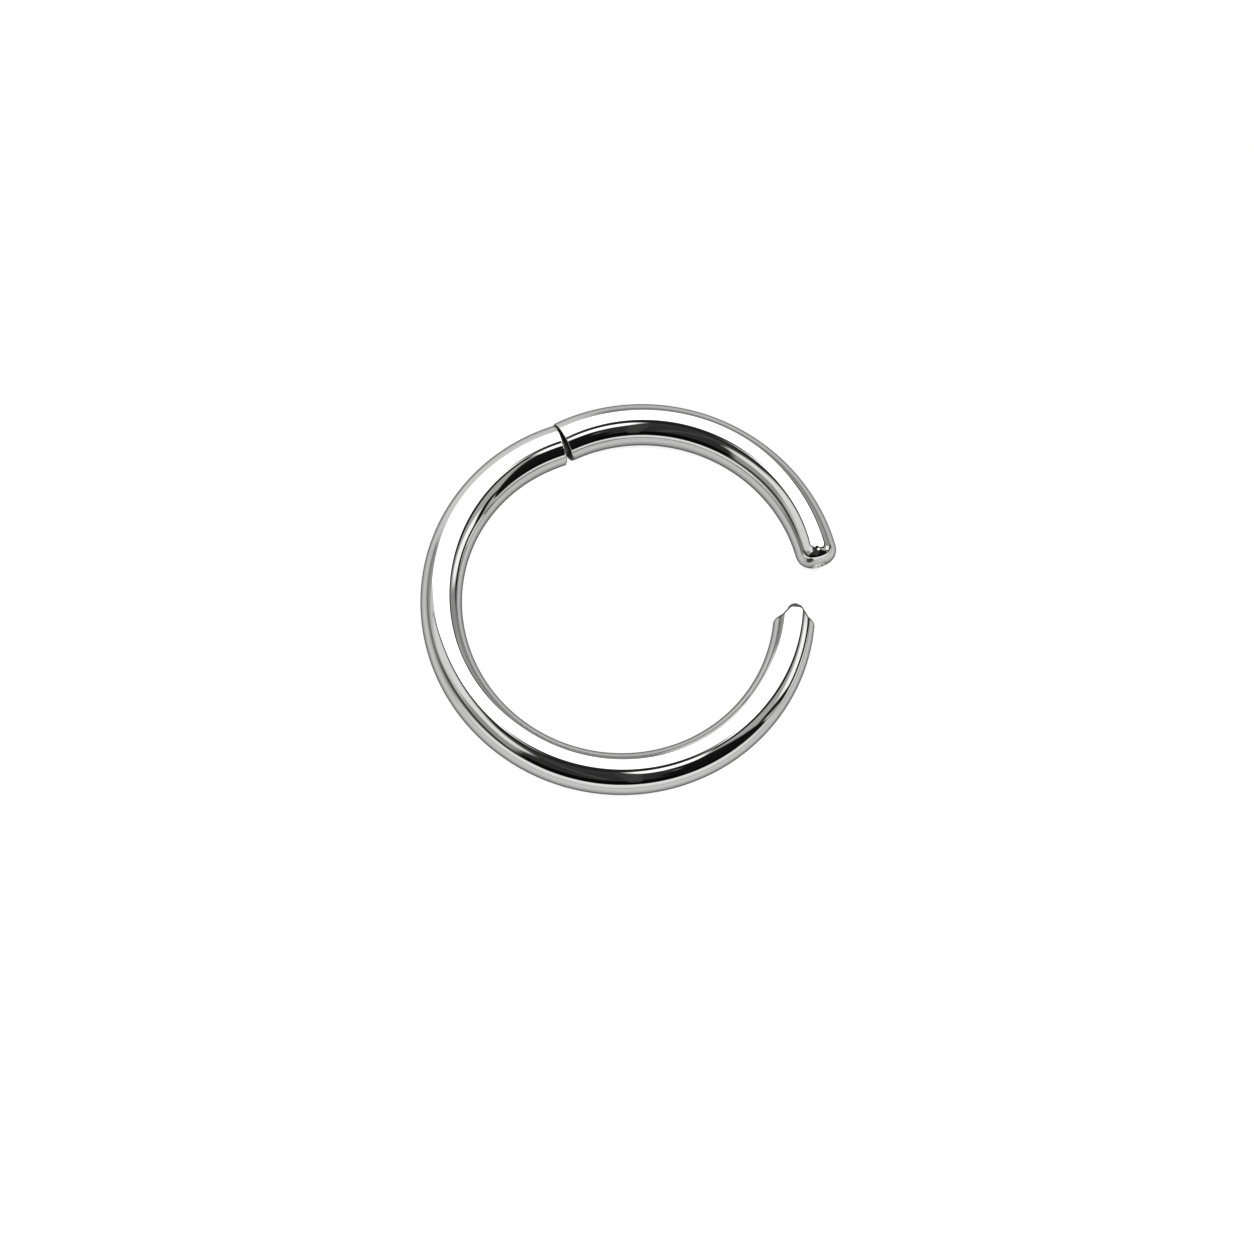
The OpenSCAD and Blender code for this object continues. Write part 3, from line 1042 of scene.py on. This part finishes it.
def photo_camera(scene, view, centre):
    """The camera, leaned from straight down about a level axis, at the photograph's framing.

    It stands frame width / sensor width x focal length away, where the frame fills the sensor.
    """
    aim = Matrix.Rotation(view.lean, 4, Vector((math.cos(view.lean_axis), math.sin(view.lean_axis), 0)))
    away = view.frame_w / SENSOR_W * view.lens
    data = bpy.data.cameras.new("camera")
    data.sensor_width = SENSOR_W
    data.lens = view.lens
    data.clip_start, data.clip_end = away / CLIP_TIMES, away * CLIP_TIMES
    camera = bpy.data.objects.new("camera", data)
    place = Vector(centre) + aim @ Vector((view.across, view.up, away))
    camera.matrix_world = Matrix.Translation(place) @ aim
    scene.collection.objects.link(camera)
    scene.camera = camera


class CLICKER_OT_stage(Operator):
    """Lay the pale floor, light the studio and aim the camera as in the photograph"""

    bl_idname = "clicker.stage"
    bl_label = "Stage"

    def execute(self, context):
        scene = context.scene
        floor_sheet(scene.clicker_finish)
        scene.world = studio(scene.clicker_finish)
        scene.view_settings.view_transform = "Standard"
        photo_camera(scene, scene.clicker_camera, Plan(scene.clicker_sizes).centre)
        return {"FINISHED"}


class VIEW3D_PT_clicker(Panel):
    """Sizes, finishes and build steps of the clicker"""

    bl_label = "Septum clicker"
    bl_idname = "VIEW3D_PT_clicker"
    bl_space_type = "VIEW_3D"
    bl_region_type = "UI"
    bl_category = "Clicker"

    def draw(self, context):
        for group in (context.scene.clicker_sizes, context.scene.clicker_finish,
                      context.scene.clicker_camera):
            box = self.layout.box()
            for name in group.__annotations__:
                box.prop(group, name)
        for step in STEPS:
            self.layout.operator(step.bl_idname)


GROUPS = {"clicker_sizes": ClickerSizes, "clicker_finish": ClickerFinish, "clicker_camera": ClickerCamera}
STEPS = (CLICKER_OT_ring_body, CLICKER_OT_hinge_pin, CLICKER_OT_hinged_segment, CLICKER_OT_stage)
CLASSES = (*GROUPS.values(), *STEPS, VIEW3D_PT_clicker)


def register():
    """Registers the classes and gives every scene their settings."""
    for made in CLASSES:
        bpy.utils.register_class(made)
    for name, group in GROUPS.items():
        setattr(bpy.types.Scene, name, PointerProperty(type=group))


def unregister():
    """Takes the settings and the classes away again."""
    for name in GROUPS:
        delattr(bpy.types.Scene, name)
    for made in reversed(CLASSES):
        bpy.utils.unregister_class(made)


def main():
    """Registers the add-on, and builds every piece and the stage."""
    register()
    bpy.ops.clicker.ring_body()
    bpy.ops.clicker.hinge_pin()
    bpy.ops.clicker.hinged_segment()
    bpy.ops.clicker.stage()


if __name__ == "__main__":
    main()
